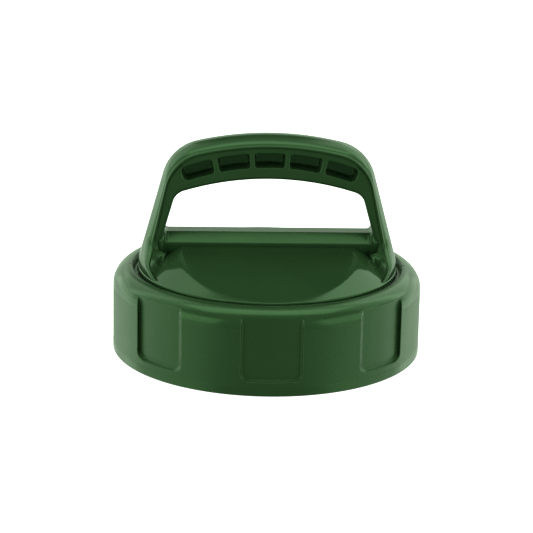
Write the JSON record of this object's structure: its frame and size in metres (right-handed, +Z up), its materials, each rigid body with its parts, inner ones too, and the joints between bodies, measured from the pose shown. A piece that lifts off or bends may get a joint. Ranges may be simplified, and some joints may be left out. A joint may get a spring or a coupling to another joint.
{
  "type": "storage lid with carrying handle",
  "caption": "Round storage lid for a wide-mouth oil container: a screw collar turning round a domed inner lid with an arched carrying handle.",
  "frame": {"origin": "centre of the collar's bottom edge, which rests on the surface", "axes": "+Z up along the screw axis, the handle's arch and cross bar along X, +Y to the back"},
  "size_m": [0.14, 0.14, 0.0996],
  "materials": {
    "collar_plastic": "injection-moulded green polypropylene, smooth shoulder and fine-grained skirt",
    "lid_plastic": "injection-moulded green polypropylene, glossy",
    "seal_rubber": "black oil-proof rubber",
    "ring_plastic": "natural unpigmented acetal",
    "screw_steel": "stainless steel"
  },
  "bodies": {
    "screw_collar": {"collar": "collar_plastic", "retaining_ring": "ring_plastic"},
    "inner_lid": {"dome_cover": "lid_plastic", "handle": "lid_plastic", "plug": "lid_plastic", "neck_gasket": "seal_rubber", "plug_o_ring": "seal_rubber", "slip_ring": "ring_plastic", "plug_screws": "screw_steel", "handle_screws": "screw_steel"}
  },
  "joints": [
    {"name": "collar_turn", "type": "hinge", "parent": "screw_collar", "child": "inner_lid", "pos_m": [0, 0, 0.037], "axis": [0, 0, 1], "continuous": true}
  ]
}
